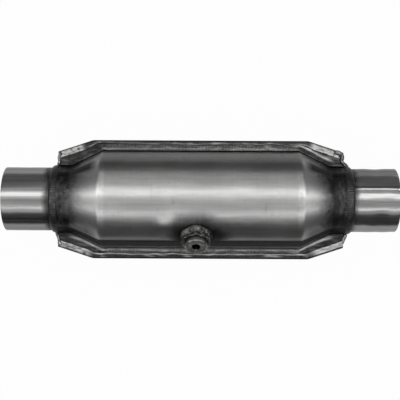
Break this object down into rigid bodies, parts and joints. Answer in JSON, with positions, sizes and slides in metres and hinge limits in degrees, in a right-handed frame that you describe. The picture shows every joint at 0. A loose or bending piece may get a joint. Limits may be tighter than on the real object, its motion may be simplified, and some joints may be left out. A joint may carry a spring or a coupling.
{
  "type": "catalytic converter",
  "caption": "Round steel catalytic converter: two half shells with folded side seams, a straight slip-on neck at each end and a hexagonal sensor boss closed by a socket plug.",
  "frame": {"origin": "middle of the body on the flow axis, halfway between the two mouths", "axes": "+X along the flow from the inlet to the outlet, +Z square to the seam out of the half shell with the sensor boss, +Y towards the left side seam seen along the flow"},
  "size_m": [0.4064, 0.1244, 0.1016],
  "materials": {
    "shell_steel": "satin",
    "neck_steel": "satin",
    "weld_steel": "satin",
    "boss_steel": "satin",
    "plug_steel": "satin",
    "gasket_steel": "satin",
    "brick_ceramic": "matte",
    "mat_fibre": "matte",
    "seal_wire": "satin"
  },
  "bodies": {
    "root": {"upper_shell": "shell_steel", "lower_shell": "shell_steel", "inlet_neck": "neck_steel", "outlet_neck": "neck_steel", "inlet_neck_weld": "weld_steel", "outlet_neck_weld": "weld_steel", "inlet_left_end_weld": "weld_steel", "inlet_right_end_weld": "weld_steel", "outlet_left_end_weld": "weld_steel", "outlet_right_end_weld": "weld_steel", "sensor_boss": "boss_steel", "sensor_boss_weld": "weld_steel", "plug_gasket": "gasket_steel", "sensor_plug": "plug_steel", "inlet_mat": "mat_fibre", "outlet_mat": "mat_fibre", "inlet_mat_front_seal": "seal_wire", "inlet_mat_rear_seal": "seal_wire", "outlet_mat_front_seal": "seal_wire", "outlet_mat_rear_seal": "seal_wire", "inlet_brick": "brick_ceramic", "outlet_brick": "brick_ceramic"}
  },
  "joints": []
}
